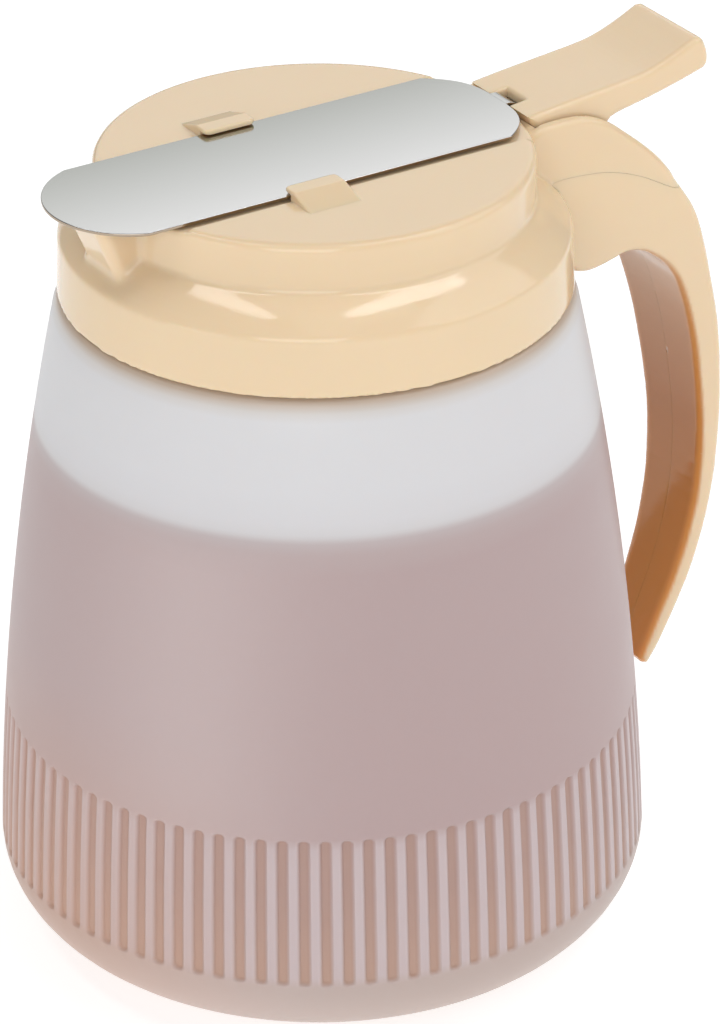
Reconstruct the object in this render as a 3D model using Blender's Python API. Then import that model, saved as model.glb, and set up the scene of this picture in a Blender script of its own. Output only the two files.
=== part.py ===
"""Syrup server with a screw-on lid, a thumb lever and a sliding cut-off gate.

Frame: the origin is the centre of the jar's underside, +Z is up, the pour spout points to -X
and the handle is on the +X side. Sizes below are in millimetres and meshes are built in metres.
"""
from math import asin, cos, pi, radians, sin

import bmesh
import bpy
from mathutils import Matrix, Vector

MM = 0.001

# Jar
JAR_HEIGHT = 147.0  # up to the shoulder that the lid's skirt covers
SHOULDER_RADIUS = 53.6
WALL_SLOPE = 0.2149  # widening per mm of depth just under the shoulder
WALL_BEND = 0.000677  # how fast that widening fades towards the base
JAR_WALL = 2.0
BASE_RADIUS = 47.0
BASE_CORNER_HEIGHT = 18.8
FLOOR = 2.6
FLUTES = 96
FLUTE_DEPTH = 0.8
FLUTE_TOP = 53.5
NECK_RADIUS = 47.6
NECK_BORE = 45.4
RIM_HEIGHT = 157.0

# Lid
SKIRT_RADIUS = 53.4
SKIRT_BORE = 50.9
SKIRT_BOTTOM = 147.3
SKIRT_TOP = 159.9
DISC_RADIUS = 45.2
DISC_BORE = 43.0
DISC_BOTTOM = 166.5
DISC_TOP = 176.5
TRACK_FLOOR = 175.8  # floor of the shallow track that the gate slides in
TRACK_HALF_WIDTH = 18.6
LID_SEAT = 158.6  # underside that presses on the seal ring

# Thread: one lead of rise for each turn of the lid
THREAD_LEAD = 5.0
THREAD_TOOTH = 1.7

# Handle and the housing above it
HALF_WIDTH = 14.2
CHEEK = 2.1
SEAM_GAP = 0.15
FIT_GAP = 0.3

# Lever and gate
PIVOT = (60.0, 151.0)  # X and Z of the lever's pin
PIVOT_POINT = (PIVOT[0], 0.0, PIVOT[1])
PIN_RADIUS = 1.5
PIN_BORE = 1.58
LEVER_HALF_WIDTH = 11.5
HUB_HALF_WIDTH = 4.0
COIL_RADIUS = 3.0
COIL_PITCH = 0.95
SPRING_WIRE = 0.8
GATE_HALF_WIDTH = 17.4
GATE_BOTTOM = 176.5
GATE_THICKNESS = 0.8
GATE_TIP = -60.5

CREAM = ((0.80, 0.62, 0.42), 0.28, 0.0)
FROSTED = ((0.80, 0.74, 0.74), 0.42, 0.0)
RUBBER = ((0.78, 0.77, 0.74), 0.60, 0.0)
STEEL = ((0.72, 0.73, 0.72), 0.16, 1.0)


def clear_scene():
    for item in list(bpy.data.objects):
        bpy.data.objects.remove(item, do_unlink=True)


def make_material(name, look):
    colour, roughness, metallic = look
    material = bpy.data.materials.new(name)
    material.use_nodes = True
    shader = material.node_tree.nodes["Principled BSDF"]
    shader.inputs["Base Color"].default_value = (*colour, 1.0)
    shader.inputs["Roughness"].default_value = roughness
    shader.inputs["Metallic"].default_value = metallic
    return material


def add_object(name, mesh_builder, look=None, smooth_angle=35.0):
    """Close the mesh, turn its faces outwards and link it; helpers without a look stay hidden."""
    bmesh.ops.remove_doubles(mesh_builder, verts=mesh_builder.verts, dist=1e-7)
    bmesh.ops.recalc_face_normals(mesh_builder, faces=mesh_builder.faces)
    if mesh_builder.calc_volume(signed=True) < 0.0:
        bmesh.ops.reverse_faces(mesh_builder, faces=mesh_builder.faces)
    mesh = bpy.data.meshes.new(name)
    mesh_builder.to_mesh(mesh)
    mesh_builder.free()
    mesh.shade_smooth()
    mesh.set_sharp_from_angle(angle=radians(smooth_angle))
    item = bpy.data.objects.new(name, mesh)
    bpy.context.scene.collection.objects.link(item)
    if look is None:
        item.hide_render = True
        item.display_type = "WIRE"
    else:
        mesh.materials.append(make_material(name, look))
    return item


def move_origin(item, point):
    """Put the object's origin at a point in millimetres while its shape stays in place."""
    item.location = Vector(point) * MM
    item.data.transform(Matrix.Translation(-item.location))


def boolean(item, operand, operation):
    modifier = item.modifiers.new(operand.name, "BOOLEAN")
    modifier.object = operand
    modifier.operation = operation


def bevel_edges(item, width, segments=2):
    modifier = item.modifiers.new("Rounded edges", "BEVEL")
    modifier.width = width * MM
    modifier.segments = segments
    modifier.limit_method = "ANGLE"
    modifier.angle_limit = radians(40.0)


def smooth_curve(points, steps):
    """Catmull-Rom curve through the points, with the given number of steps per span."""
    knots = [Vector(p) for p in points]
    knots = [2 * knots[0] - knots[1]] + knots + [2 * knots[-1] - knots[-2]]
    curve = []
    for i in range(1, len(knots) - 2):
        a, b, c, d = knots[i - 1:i + 3]
        for step in range(steps):
            t = step / steps
            curve.append(0.5 * (2 * b + (c - a) * t + (2 * a - 5 * b + 4 * c - d) * t * t
                                + (3 * b - a - 3 * c + d) * t ** 3))
    curve.append(knots[-2])
    return [tuple(p) for p in curve]


def loft(rings):
    """Solid through closed rings of (x, y, z) points in millimetres, capped at both ends."""
    builder = bmesh.new()
    rows = [[builder.verts.new(Vector(p) * MM) for p in ring] for ring in rings]
    for lower, upper in zip(rows, rows[1:]):
        count = len(lower)
        for i in range(count):
            j = (i + 1) % count
            builder.faces.new((lower[i], lower[j], upper[j], upper[i]))
    builder.faces.new(rows[0])
    builder.faces.new(rows[-1])
    return builder


def prism_along_y(outline, y_low, y_high):
    return loft([[(x, y, z) for x, z in outline] for y in (y_low, y_high)])


def prism_along_x(outline, x_low, x_high):
    return loft([[(x, y, z) for y, z in outline] for x in (x_low, x_high)])


def prism_along_z(outline, z_low, z_high):
    return loft([[(x, y, z) for x, y in outline] for z in (z_low, z_high)])


def box(low, high):
    corners = [(low[0], low[1]), (high[0], low[1]), (high[0], high[1]), (low[0], high[1])]
    return prism_along_z(corners, low[2], high[2])


def cylinder_along_y(centre, radius, y_low, y_high, sides=24):
    ring = [(centre[0] + radius * cos(2 * pi * i / sides), centre[1] + radius * sin(2 * pi * i / sides))
            for i in range(sides)]
    return prism_along_y(ring, y_low, y_high)


def revolve(rows):
    """Turn (radius, z, columns[, groove]) rows about Z; neighbouring rows may differ by a factor of 2."""
    builder = bmesh.new()
    rings = []
    for row in rows:
        radius, z, columns = row[:3]
        groove = row[3] if len(row) > 3 else 0.0
        if radius == 0.0:
            rings.append([builder.verts.new((0.0, 0.0, z * MM))])
            continue
        ring = []
        for i in range(columns):
            reach = radius - (groove if i % 2 else 0.0)
            angle = 2 * pi * i / columns
            ring.append(builder.verts.new((reach * cos(angle) * MM, reach * sin(angle) * MM, z * MM)))
        rings.append(ring)
    for first, second in zip(rings, rings[1:]):
        if len(first) > 1 or len(second) > 1:
            bridge(builder, first, second)
    if rows[0][0] != 0.0:
        bridge(builder, rings[-1], rings[0])
    return builder


def bridge(builder, first, second):
    few, many = sorted((first, second), key=len)
    ratio = len(many) // len(few)
    if len(few) == 1:
        for i in range(len(many)):
            builder.faces.new((few[0], many[i], many[(i + 1) % len(many)]))
        return
    for i in range(len(few)):
        arc = [many[(i * ratio + k) % len(many)] for k in range(ratio, -1, -1)]
        builder.faces.new([few[i], few[(i + 1) % len(few)]] + arc)


def helical_ridge(root, crest, bottom, start_deg, sweep_deg):
    """Screw ridge that climbs one lead a turn; root and crest are its two radii."""
    half = THREAD_TOOTH / 2
    rings = []
    steps = int(sweep_deg / 7.5)
    for i in range(steps + 1):
        turned = sweep_deg * i / steps
        fade = min(1.0, 0.35 + min(i, steps - i) / 3.0)
        peak = root + (crest - root) * fade
        angle = radians(start_deg + turned)
        middle = bottom + half + THREAD_LEAD * turned / 360.0
        section = [(root, -half), (peak, -0.45 * half), (peak, 0.45 * half), (root, half)]
        rings.append([(r * cos(angle), r * sin(angle), middle + dz) for r, dz in section])
    return loft(rings)


def wall_radius(z):
    """Outside radius of the jar's long bowed wall."""
    depth = JAR_HEIGHT - z
    return SHOULDER_RADIUS + WALL_SLOPE * depth - WALL_BEND * depth * depth


def base_corner(inset, steps):
    """Elliptic corner from the flat base up into the wall, moved inwards by the inset."""
    top = BASE_CORNER_HEIGHT
    width = wall_radius(top) - BASE_RADIUS
    rows = []
    for i in range(1, steps):
        angle = 0.5 * pi * i / steps
        rows.append((BASE_RADIUS + (width - inset) * sin(angle), top - (top - inset) * cos(angle)))
    return rows


def make_jar():
    rows = [(0.0, 0.0, 1), (15.0, 0.0, 48), (17.0, 0.8, 48), (36.0, 0.8, 48), (38.0, 0.0, 48),
            (BASE_RADIUS, 0.0, 48)]
    rows += [(r, z, FLUTES) for r, z in base_corner(0.0, 5)]
    rows.append((wall_radius(BASE_CORNER_HEIGHT), BASE_CORNER_HEIGHT, 2 * FLUTES))
    for z in (BASE_CORNER_HEIGHT + 2.0, 36.0, FLUTE_TOP - 2.0):
        rows.append((wall_radius(z), z, 2 * FLUTES, FLUTE_DEPTH))
    rows.append((wall_radius(FLUTE_TOP - 0.3), FLUTE_TOP - 0.3, 2 * FLUTES))
    rows += [(wall_radius(z), z, FLUTES) for z in (FLUTE_TOP, 80.0, 105.0, 128.0, 143.6)]
    rows += [(53.7, 145.8, FLUTES), (52.4, 146.9, FLUTES), (51.0, 147.0, FLUTES)]
    rows += [(NECK_RADIUS, JAR_HEIGHT, FLUTES), (NECK_RADIUS, RIM_HEIGHT - 0.4, FLUTES)]
    rows += [(NECK_RADIUS - 0.4, RIM_HEIGHT, FLUTES), (NECK_BORE + 0.4, RIM_HEIGHT, 48)]
    rows += [(NECK_BORE, RIM_HEIGHT - 0.4, 48), (NECK_BORE, 145.4, 48), (50.6, 144.4, 48)]
    rows += [(wall_radius(z) - JAR_WALL, z, 48) for z in (142.0, 120.0, 90.0, 55.0, BASE_CORNER_HEIGHT)]
    rows += [(r, z, 48) for r, z in reversed(base_corner(JAR_WALL, 4))]
    rows += [(BASE_RADIUS - 4.0, FLOOR, 48), (0.0, FLOOR, 1)]
    jar = add_object("jar", revolve(rows), FROSTED)
    ridge = helical_ridge(NECK_RADIUS - 0.7, 49.9, 148.6, 0.0, 405.0)
    boolean(jar, add_object("jar_thread_form", ridge), "UNION")
    return jar


def make_seal_ring():
    low = RIM_HEIGHT + FIT_GAP
    high = LID_SEAT - FIT_GAP
    rows = [(44.6, low, 48), (50.3, low, 48), (50.3, high, 48), (44.6, high, 48)]
    return add_object("seal_ring", revolve(rows), RUBBER)


def lid_outline(clearance=0.0):
    """Outside of the lid from the skirt's foot to the disc's top edge."""
    points = [(SKIRT_RADIUS - 0.5, SKIRT_BOTTOM), (SKIRT_RADIUS, SKIRT_BOTTOM + 0.6),
              (SKIRT_RADIUS - 0.2, SKIRT_TOP - 1.4), (SKIRT_RADIUS - 0.9, SKIRT_TOP - 0.3),
              (SKIRT_RADIUS - 2.4, SKIRT_TOP + 1.0), (DISC_RADIUS + 1.3, DISC_BOTTOM - 1.2),
              (DISC_RADIUS + 0.3, DISC_BOTTOM - 0.1), (DISC_RADIUS, DISC_BOTTOM + 1.0),
              (DISC_RADIUS, DISC_TOP - 1.8), (DISC_RADIUS - 0.5, DISC_TOP - 0.55),
              (DISC_RADIUS - 1.8, DISC_TOP)]
    return [(r + clearance, z) for r, z in points]


def lid_shell():
    rows = [(r, z, 96) for r, z in lid_outline()]
    ceiling = TRACK_FLOOR - 2.2
    rows += [(0.0, DISC_TOP, 1), (0.0, ceiling, 1)]
    rows += [(DISC_BORE - 1.0, ceiling, 96), (DISC_BORE, ceiling - 1.0, 96), (DISC_BORE, LID_SEAT, 96),
             (SKIRT_BORE, LID_SEAT, 96), (SKIRT_BORE, SKIRT_BOTTOM, 96)]
    return revolve(rows)


# Side view of the handle, as (X, Z). The first seven points of HANDLE_OUTER are the joint line
# under the lid's housing; from there on it is the handle's back.
HANDLE_OUTER = [(49.8, 162.3), (53.3, 162.4), (60.9, 161.7), (66.0, 160.4), (71.1, 158.4), (75.0, 156.3),
                (79.2, 153.7), (82.6, 152.4), (85.7, 147.6), (88.4, 141.2), (91.8, 128.7), (94.6, 116.1),
                (96.3, 102.0), (96.8, 90.5), (96.2, 77.0), (94.3, 64.4), (90.9, 52.4), (85.1, 38.6),
                (82.5, 33.5)]
HANDLE_INNER = [(54.2, 140.9), (56.3, 139.5), (59.6, 138.9), (63.6, 139.5), (68.7, 140.8), (72.6, 140.2),
                (76.2, 138.0), (79.2, 135.4), (81.4, 132.6), (83.2, 129.4), (85.8, 122.2), (88.2, 112.8),
                (90.3, 100.5), (91.5, 89.5), (91.5, 77.0), (90.0, 66.2), (87.0, 54.9), (81.8, 41.4),
                (79.4, 34.4)]
HANDLE_TIP = ((81.7, 32.6), (79.9, 33.5))
HANDLE_HALF_WIDTHS = [HALF_WIDTH] * 8 + [14.1, 13.8, 13.2, 12.6, 11.7, 11.0, 10.4, 9.6, 8.9, 7.9, 7.3]
HOUSING_FRONT = (46.0, 164.0)  # underside of the housing where it leaves the disc
HOUSING_BACK = [(80.9, 154.2), (79.4, 157.4), (76.4, 161.1), (72.5, 164.9), (68.0, 168.7), (63.4, 172.3),
                (58.5, 174.6), (54.0, 175.3), (48.0, 175.3), (44.8, 174.5), (42.0, 172.5)]
# Side view of the slot between the housing's cheeks; its front follows the disc and the shoulder.
LEVER_SLOT = [(45.9, 182.0), (45.9, 168.2), (47.2, 166.8), (53.2, 160.8), (54.0, 158.0), (77.6, 158.0),
              (77.6, 182.0)]


def housing_outline():
    joint_line = [(x, z + FIT_GAP) for x, z in HANDLE_OUTER[1:7]]
    underside = smooth_curve(joint_line, 2)
    back = smooth_curve(HOUSING_BACK, 2)
    return [(42.0, 165.0), HOUSING_FRONT] + underside + back


def spout_form():
    """Pouring beak that leans out from the disc and rests on the skirt's top edge."""
    def ring(front, half, z):
        return [(-40.0, half + 0.6, z), (front + 7.5, half, z), (front + 1.6, half - 2.0, z),
                (front, half - 5.0, z), (front, 5.0 - half, z), (front + 1.6, 2.0 - half, z),
                (front + 7.5, -half, z), (-40.0, -half - 0.6, z)]
    return loft([ring(-50.0, 6.4, 160.0), ring(-55.0, 7.0, TRACK_FLOOR - 0.6), ring(-54.6, 6.7, TRACK_FLOOR)])


def gate_track():
    """Shallow track across the disc, open at the spout and at the lever."""
    half = TRACK_HALF_WIDTH
    return box((-50.0, -half, TRACK_FLOOR), (46.4, half, DISC_TOP + 5.0))


def spout_channel():
    outline = [(-52.4, 180.0), (-52.4, 173.6), (-48.0, 169.8), (-42.5, 167.2), (-36.0, 167.2), (-36.0, 180.0)]
    return prism_along_y(outline, -3.8, 3.8)


def gate_guide():
    """Moulded hook that overlaps the gate's edge."""
    top = GATE_BOTTOM + GATE_THICKNESS
    wall = GATE_HALF_WIDTH + 0.5
    foot = TRACK_FLOOR - 0.6
    outline = [(wall, foot), (25.2, foot), (25.2, DISC_TOP + 0.1), (22.4, top + 0.5), (19.6, top + 1.3),
               (16.2, top + 1.3), (15.4, top + 0.8), (15.4, top + FIT_GAP), (wall, top + FIT_GAP)]
    return outline


def hinge_tab(y_low, y_high):
    """Ear behind the skirt that carries one end of the lever's pin."""
    outline = [(51.4, 148.0), (55.4, 148.0), (57.4, 145.4), (63.0, 145.4), (66.0, 148.0), (66.6, 152.0),
               (64.6, 156.0), (61.0, 157.6), (56.0, 157.6), (51.4, 157.0)]
    return prism_along_y(outline, y_low, y_high)


def make_lid():
    lid = add_object("lid", lid_shell(), CREAM)
    housing = add_object("housing_form", prism_along_y(housing_outline(), -HALF_WIDTH, HALF_WIDTH))
    bevel_edges(housing, 0.9)
    slot_half = HALF_WIDTH - CHEEK
    guide = gate_guide()
    boolean(lid, add_object("gate_track_cutter", gate_track()), "DIFFERENCE")
    additions = [housing, add_object("spout_form", spout_form()),
                 add_object("left_tab_form", hinge_tab(-10.6, -7.6)),
                 add_object("right_tab_form", hinge_tab(7.6, 10.6)),
                 add_object("left_guide_form", prism_along_x([(-y, z) for y, z in guide], -16.5, -4.5)),
                 add_object("right_guide_form", prism_along_x(guide, -16.5, -4.5)),
                 add_object("lid_thread_form", helical_ridge(SKIRT_BORE + 0.7, 48.5, 147.9, 100.0, 340.0))]
    for item in additions:
        boolean(lid, item, "UNION")
    slot = prism_along_y(LEVER_SLOT, -slot_half, slot_half)
    pin_bore = cylinder_along_y(PIVOT, PIN_BORE, -12.0, 12.0)
    peg_bore = cylinder_along_y((63.6, 147.9), 1.75, -12.0, 12.0, 16)
    for name, form in (("lever_slot_cutter", slot), ("channel_cutter", spout_channel()),
                       ("pin_bore_cutter", pin_bore), ("peg_bore_cutter", peg_bore)):
        boolean(lid, add_object(name, form), "DIFFERENCE")
    return lid


def handle_section(outer, inner, half_width, corner):
    """Half of a rounded bar between the two side-view points, open on the mid-plane."""
    across = Vector(inner) - Vector(outer)
    thickness = across.length
    direction = across / thickness
    edge = min(corner, 0.3 * thickness)
    marks = [(0.0, SEAM_GAP), (0.0, half_width - edge), (0.3 * edge, half_width - 0.3 * edge),
             (edge, half_width), (thickness - edge, half_width),
             (thickness - 0.3 * edge, half_width - 0.3 * edge), (thickness, half_width - edge),
             (thickness, SEAM_GAP)]
    points = [(Vector(outer) + direction * along, y) for along, y in marks]
    return [(p.x, y, p.y) for p, y in points]


def handle_clearance():
    """Space taken up by the lid and the jar, with a fitting gap, that the handle keeps out of."""
    gap = FIT_GAP + 0.05
    rows = [(wall_radius(z) + gap, z, 96) for z in (120.0, 132.0, 144.0)]
    rows += [(r, z, 96) for r, z in lid_outline(gap)]
    rows += [(0.0, DISC_TOP + 5.0, 1), (0.0, 115.0, 1), (wall_radius(115.0) + gap, 115.0, 96)]
    return revolve(rows)


def make_handle_half(name, side, clearance):
    outer = smooth_curve([(x, z, w) for (x, z), w in zip(HANDLE_OUTER, HANDLE_HALF_WIDTHS)], 3)
    inner = smooth_curve(HANDLE_INNER, 3)
    rings = []
    for (x, z, half_width), inside in zip(outer, inner):
        ring = handle_section((x, z), inside, half_width, 1.6)
        rings.append([(px, side * py, pz) for px, py, pz in ring])
    tip = handle_section(HANDLE_TIP[0], HANDLE_TIP[1], HANDLE_HALF_WIDTHS[-1] - 1.2, 1.6)
    rings.append([(px, side * py, pz) for px, py, pz in tip])
    half = add_object(name, loft(rings), CREAM)
    low, high = sorted((-side * 1.0, side * 11.2))
    pocket = box((45.0, low, 144.2), (71.5, high, 164.0))
    boolean(half, add_object(name + "_pocket_cutter", pocket), "DIFFERENCE")
    boolean(half, clearance, "DIFFERENCE")
    low, high = sorted((side * 7.9, side * 11.9))
    boolean(half, add_object(name + "_peg_form", cylinder_along_y((63.6, 147.9), 1.45, low, high, 16)), "UNION")
    return half


LEVER_TOP = [(45.0, 176.9), (52.5, 177.8), (62.5, 178.8), (72.6, 179.9), (77.8, 181.2), (82.6, 183.2),
             (86.6, 185.2)]
LEVER_REAR = [(87.8, 185.0), (88.9, 183.8), (89.9, 181.2), (90.0, 179.0), (89.0, 177.7)]
LEVER_UNDERSIDE = [(83.0, 176.0), (75.4, 174.2), (67.2, 172.6), (65.0, 171.4), (64.3, 169.0), (64.1, 166.6),
                   (60.0, 166.0), (52.0, 167.6), (48.4, 170.4), (46.7, 173.4)]


def lever_web():
    """Web that carries the lever's blade down to its hub."""
    arc = [radians(a) for a in range(-180, 1, 20)]
    hub = [(PIVOT[0] + 4.6 * cos(a), PIVOT[1] + 4.6 * sin(a)) for a in arc]
    return [(51.5, 169.5), (54.6, 160.0)] + hub + [(64.2, 160.0), (63.9, 170.0)]


def make_lever():
    outline = smooth_curve(LEVER_TOP, 2) + LEVER_REAR + LEVER_UNDERSIDE
    lever = add_object("thumb_lever", prism_along_y(outline, -LEVER_HALF_WIDTH, LEVER_HALF_WIDTH), CREAM)
    bevel_edges(lever, 1.0)
    boolean(lever, add_object("web_form", prism_along_y(lever_web(), -HUB_HALF_WIDTH, HUB_HALF_WIDTH)), "UNION")
    notch = box((40.0, -3.5, 169.0), (49.2, 3.5, 182.0))
    pocket = box((47.2, -6.4, 168.6), (51.8, 6.4, 175.2))
    bore = cylinder_along_y(PIVOT, PIN_BORE, -8.0, 8.0)
    for name, form in (("notch_cutter", notch), ("tab_pocket_cutter", pocket), ("hub_bore_cutter", bore)):
        boolean(lever, add_object(name, form), "DIFFERENCE")
    move_origin(lever, PIVOT_POINT)
    return lever


def make_pin():
    pin = add_object("lever_pin", cylinder_along_y(PIVOT, PIN_RADIUS, -10.8, 10.8), STEEL)
    move_origin(pin, PIVOT_POINT)
    return pin


def make_spring():
    """Torsion spring beside the hub: one leg rests near the skirt, one hooks behind the web."""
    steps_per_turn = 14
    turns = 2.25
    first_y = 4.7
    points = [(54.1, first_y, 149.6), (55.8, first_y, 148.8), (57.6, first_y, 148.2)]
    steps = int(turns * steps_per_turn)
    for i in range(steps + 1):
        angle = 2 * pi * (i * turns / steps - 0.25)
        points.append((PIVOT[0] + COIL_RADIUS * cos(angle), first_y + COIL_PITCH * i * turns / steps,
                       PIVOT[1] + COIL_RADIUS * sin(angle)))
    last_y = points[-1][1]
    points += [(63.5, last_y, 153.5), (64.6, last_y, 157.5), (64.95, last_y - 0.2, 160.2),
               (64.95, last_y - 1.2, 161.0), (64.95, 3.4, 161.2), (64.95, -2.4, 161.2)]
    curve = bpy.data.curves.new("lever_spring", "CURVE")
    curve.dimensions = "3D"
    curve.bevel_depth = SPRING_WIRE / 2 * MM
    curve.bevel_resolution = 1
    curve.use_fill_caps = True
    spline = curve.splines.new("POLY")
    spline.points.add(len(points) - 1)
    for knot, point in zip(spline.points, points):
        knot.co = (*(Vector(point) * MM), 1.0)
    spring = bpy.data.objects.new("lever_spring", curve)
    bpy.context.scene.collection.objects.link(spring)
    curve.materials.append(make_material("lever_spring", STEEL))
    move_origin(spring, PIVOT_POINT)
    return spring


def gate_outline():
    """Plan of the gate: round nose over the spout, straight sides, bowed rear edge."""
    nose_radius = 18.5
    centre = GATE_TIP + nose_radius
    limit = asin(GATE_HALF_WIDTH / nose_radius)
    nose = [(centre - nose_radius * cos(limit * i / 10), nose_radius * sin(limit * i / 10))
            for i in range(10, -11, -1)]
    rear = []
    for i in range(-8, 9):
        y = GATE_HALF_WIDTH * sin(0.5 * pi * i / 8)
        rear.append((36.5 + 8.1 * (1.0 - abs(y / GATE_HALF_WIDTH) ** 3.2), y))
    return nose + rear


def make_gate():
    top = GATE_BOTTOM + GATE_THICKNESS
    gate = add_object("slide_gate", prism_along_z(gate_outline(), GATE_BOTTOM, top), STEEL)
    low = GATE_BOTTOM + 0.05
    tongue = [(42.0, top - 0.05), (46.1, top - 0.05), (47.8, top - 1.1), (48.8, 174.6), (48.8, 173.4),
              (47.9, 173.4), (47.9, 174.4), (47.0, 175.7), (45.8, low), (42.0, low)]
    boolean(gate, add_object("tongue_form", prism_along_y(tongue, -3.0, 3.0)), "UNION")
    crossbar = box((47.95, -5.5, 172.2), (48.75, 5.5, 174.6))
    boolean(gate, add_object("crossbar_form", crossbar), "UNION")
    move_origin(gate, (0.0, 0.0, GATE_BOTTOM))
    return gate


def build():
    clear_scene()
    make_jar()
    make_seal_ring()
    make_lid()
    clearance = add_object("lid_clearance_cutter", handle_clearance())
    make_handle_half("handle_half_left", -1, clearance)
    make_handle_half("handle_half_right", 1, clearance)
    make_lever()
    make_pin()
    make_spring()
    make_gate()


build()
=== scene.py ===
"""Looks of the syrup server: frosted jar, cream lid, handle and lever, steel gate.

Shapes are written in millimetres in the frame's own axes: +Z up, the beak towards -X, the handle
towards +X. The moulded pieces are distance fields (negative inside) turned into meshes by skin().
"""
from math import asin, cos, pi, radians, sin

import bmesh
import bpy
import numpy as np
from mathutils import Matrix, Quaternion, Vector


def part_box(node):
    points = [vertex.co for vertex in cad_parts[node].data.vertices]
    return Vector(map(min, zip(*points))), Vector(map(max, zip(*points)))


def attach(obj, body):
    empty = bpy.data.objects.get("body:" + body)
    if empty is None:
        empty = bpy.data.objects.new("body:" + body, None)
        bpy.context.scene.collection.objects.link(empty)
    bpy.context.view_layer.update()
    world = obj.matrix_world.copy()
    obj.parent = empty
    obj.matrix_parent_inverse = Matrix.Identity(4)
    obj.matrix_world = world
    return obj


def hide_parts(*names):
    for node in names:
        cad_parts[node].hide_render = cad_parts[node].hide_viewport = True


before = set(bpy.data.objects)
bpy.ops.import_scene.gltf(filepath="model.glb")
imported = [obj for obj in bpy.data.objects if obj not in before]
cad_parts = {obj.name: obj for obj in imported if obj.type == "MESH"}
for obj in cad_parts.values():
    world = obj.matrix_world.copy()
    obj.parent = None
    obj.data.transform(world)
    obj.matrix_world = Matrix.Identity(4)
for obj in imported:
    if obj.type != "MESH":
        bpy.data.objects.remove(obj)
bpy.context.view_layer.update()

MM = 0.001


def node_box(node):
    """Lowest and highest corner of a CAD node in millimetres."""
    low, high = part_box(node)
    return low / MM, high / MM


GATE_LOW, GATE_HIGH = node_box("slide_gate")
PIN_LOW, PIN_HIGH = node_box("lever_pin")

# Sharpest angle, in degrees, that each kind of mesh still shades smoothly
TURNED_SMOOTH = 40.0
SKIN_SMOOTH = 52.0
LOFT_SMOOTH = 35.0

# Main view: direction in degrees, metres from the jar's shoulder, and its sideways direction in plan
VIEW_AZIMUTH = -31.0
VIEW_ELEVATION = 26.171
VIEW_DISTANCE = 0.9631
VIEW_AIM = (0.00754, -0.00464, 0.09231)
VIEW_ROLL = -0.431
VIEW_LENS = 164.0
VIEW_SENSOR = 36.0
ACROSS_VIEW = (0.857, -0.515)

# Jar
JAR_TOP = node_box("jar")[1].z
JAR_COLUMNS = 192
SHOULDER_Z = 147.0
SHOULDER_RADIUS = 53.6
WALL_SLOPE = 0.2149
WALL_BEND = 0.000677
JAR_WALL = 2.0
BASE_RADIUS = 47.0
BASE_CORNER = 18.8
FLOOR = 2.6
RIB_COUNT = 96
GROOVE_TOP = 53.5
GROOVE_DEPTH = 0.75
GROOVE_HALF_WIDTH = 1.55
GROOVE_CORNER = 1.25
GROOVE_START = 0.35
NECK_RADIUS = 47.6
NECK_BORE = 45.4
SYRUP_LEVEL = 118.6
THREAD_LEAD = 5.0
THREAD_HEIGHT = 2.3
THREAD_BOTTOM = 149.45

# Lid
SKIRT_RADIUS = 53.4
SKIRT_BORE = 50.9
SKIRT_BOTTOM = 147.3
SKIRT_TOP = 160.0
DISC_RADIUS = 45.2
DISC_BORE = 43.0
DISC_BOTTOM = 166.5
DISC_TOP = 176.5
TRACK_FLOOR = 175.8
TRACK_HALF_WIDTH = 18.6
DISC_CEILING = TRACK_FLOOR - 2.2
LID_SEAT = 158.6
BEAK_FOOT = 160.0
SPOUT_HALF_WIDTH = 3.8

# Handle, housing and lever
HALF_WIDTH = 14.2
CHEEK = 2.1
SEAM = 0.02
PIVOT = ((PIN_LOW.x + PIN_HIGH.x) / 2, (PIN_LOW.z + PIN_HIGH.z) / 2)
PIN_RADIUS = (PIN_HIGH.x - PIN_LOW.x) / 2
PIN_BORE = PIN_RADIUS + 0.08
LEVER_HALF_WIDTH = 11.5
HUB_HALF_WIDTH = 4.0
HUB_RADIUS = 4.6
NOTCH_HALF_WIDTH = 3.5

# Gate
GATE_TOP = GATE_HIGH.z
GATE_THICKNESS = 0.7
GATE_HALF_WIDTH = GATE_HIGH.y
GATE_TIP = GATE_LOW.x
GATE_NOSE = 18.5
GATE_REAR = 36.5
GATE_REAR_BOW = 8.1


# Studio: name, azimuth, elevation, distance, size, power and roll of each light
SOFTBOXES = [("front_softbox", -38.0, 24.0, 1.5, (0.9, 0.9), 6.6, 0.0),
             ("left_softbox", -82.0, 9.0, 1.5, (0.7, 0.4), 1.6, 0.0),
             ("left_strip", -112.0, 63.0, 1.4, (1.15, 0.20), 2.8, 27.0),
             ("right_softbox", 56.0, 38.0, 1.5, (1.3, 1.0), 5.8, 0.0),
             ("right_strip", 42.0, 65.0, 1.4, (1.05, 0.20), 3.0, -29.0),
             ("top_softbox", 0.0, 78.0, 1.5, (1.0, 1.0), 1.4, 0.0),
             ("back_softbox", 149.0, 31.0, 1.6, (1.8, 1.05), 5.0, 0.0)]
LIT_CENTRE = (0.0, 0.0, 0.10)
FLOOR_GREY = 0.50
FLOOR_GLOW = 0.70
WORLD_GLOW = 0.27


# ---------------------------------------------------------------- distance fields

def outline_distance(u, v, outline):
    """Distance from (u, v) to a closed outline, negative inside it."""
    nearest = 1e12
    inside = False
    for (au, av), (bu, bv) in zip(outline, outline[1:] + outline[:1]):
        eu, ev = bu - au, bv - av
        along = np.clip(((u - au) * eu + (v - av) * ev) / (eu * eu + ev * ev), 0.0, 1.0)
        nearest = np.minimum(nearest, (u - au - along * eu) ** 2 + (v - av - along * ev) ** 2)
        if ev:
            inside = inside ^ (((av > v) != (bv > v)) & (u < au + (v - av) * eu / ev))
    return np.sqrt(nearest) * np.where(inside, -1.0, 1.0)


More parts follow.
